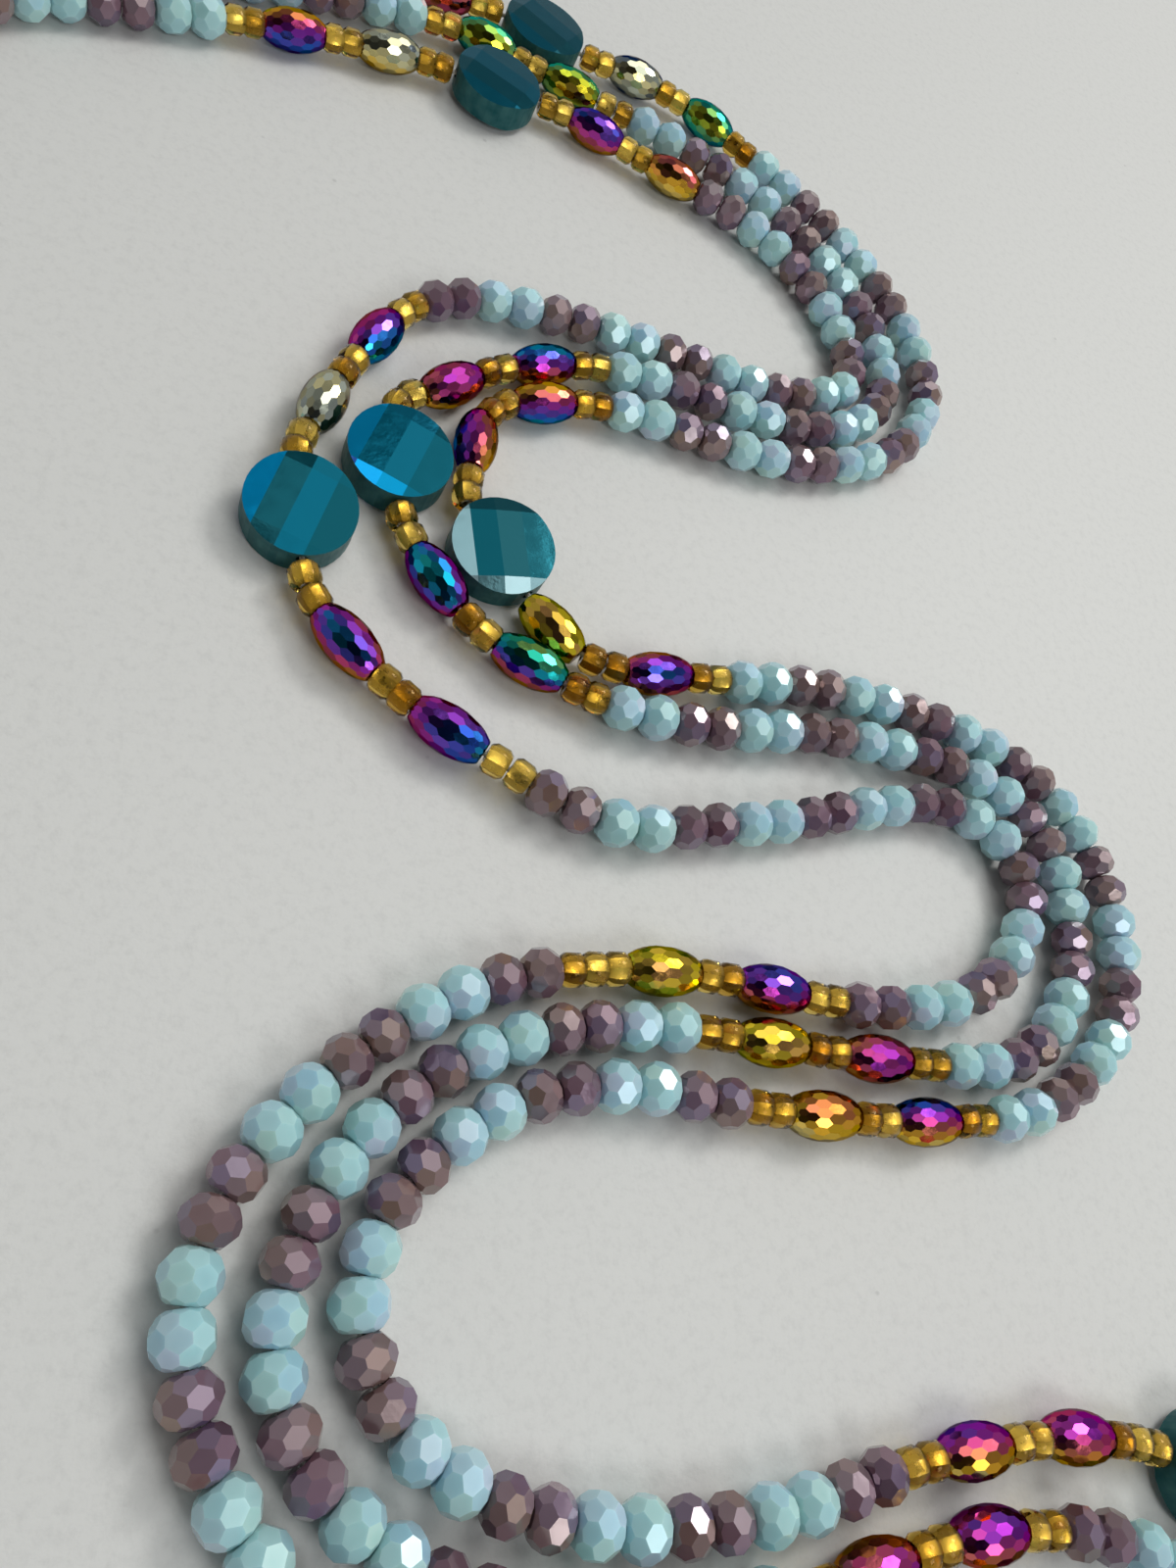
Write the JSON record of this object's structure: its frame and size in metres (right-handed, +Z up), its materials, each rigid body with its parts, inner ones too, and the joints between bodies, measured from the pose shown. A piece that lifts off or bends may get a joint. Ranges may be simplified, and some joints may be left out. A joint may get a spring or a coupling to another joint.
{
  "type": "waist beads",
  "caption": "Waist beads: three strands of faceted glass rondelles, seed, oval and coin beads on one bar clasp, laid in loose bends.",
  "frame": {"origin": "middle of the laid-out beads' footprint, on the flat surface that they lie on", "axes": "+Z up from that surface; +Y along the longer side of the footprint, up the picture at its middle; +X to the picture's right"},
  "size_m": [0.2374, 0.2858, 0.006],
  "materials": {
    "aqua_glass": "opaque aqua glass with a pale lustre",
    "mauve_glass": "brownish mauve glass with a pale lustre",
    "amber_glass": "clear amber glass, lined with silver",
    "rainbow_glass": "faceted glass with a mirror-like rainbow coating",
    "coin_glass": "teal coated glass, frosted at the rim",
    "thread": "white nylon thread",
    "clasp_metal": "polished gold colour"
  },
  "bodies": {
    "root": {"inner_strand_1": "aqua_glass", "inner_strand_2": "aqua_glass", "inner_strand_3": "aqua_glass", "inner_strand_4": "aqua_glass", "inner_strand_5": "aqua_glass", "middle_strand_1": "mauve_glass", "middle_strand_2": "mauve_glass", "middle_strand_3": "mauve_glass", "middle_strand_4": "mauve_glass", "outer_strand_1": "rainbow_glass", "outer_strand_2": "rainbow_glass", "outer_strand_3": "rainbow_glass", "outer_strand_4": "rainbow_glass", "outer_strand_5": "rainbow_glass", "inner_coin_1": "coin_glass", "inner_coin_2": "coin_glass", "inner_coin_3": "coin_glass", "middle_coin_1": "coin_glass", "middle_coin_2": "coin_glass", "outer_coin_1": "coin_glass", "outer_coin_2": "coin_glass", "outer_coin_3": "coin_glass", "outer_coin_4": "coin_glass", "clasp_bar": "clasp_metal"}
  },
  "joints": []
}
